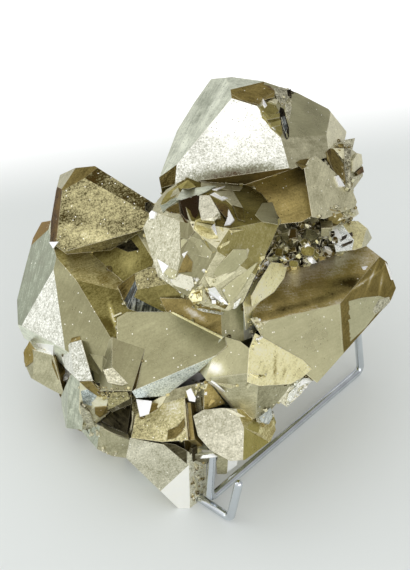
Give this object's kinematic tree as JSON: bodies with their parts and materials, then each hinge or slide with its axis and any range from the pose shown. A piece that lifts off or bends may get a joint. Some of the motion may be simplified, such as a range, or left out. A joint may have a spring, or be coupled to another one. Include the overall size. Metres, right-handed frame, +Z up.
{
  "type": "pyrite specimen on a wire stand",
  "caption": "Cluster of intergrown flat-faced pyrite crystals leaning on a bent wire stand: an upright wire frame and a wire foot with an upturned lip.",
  "frame": {"origin": "on the floor under the middle of the specimen's box", "axes": "+Z up, -Y towards the viewer's side, +X to the viewer's right"},
  "size_m": [0.1401, 0.1372, 0.1111],
  "materials": {
    "pyrite": "metallic pale brass crystal faces, some mirror-smooth, some finely etched",
    "wire": "bright chromed steel wire"
  },
  "bodies": {
    "root": {"pyrite_cluster": "pyrite", "stand_frame": "wire", "stand_foot": "wire"}
  },
  "joints": []
}
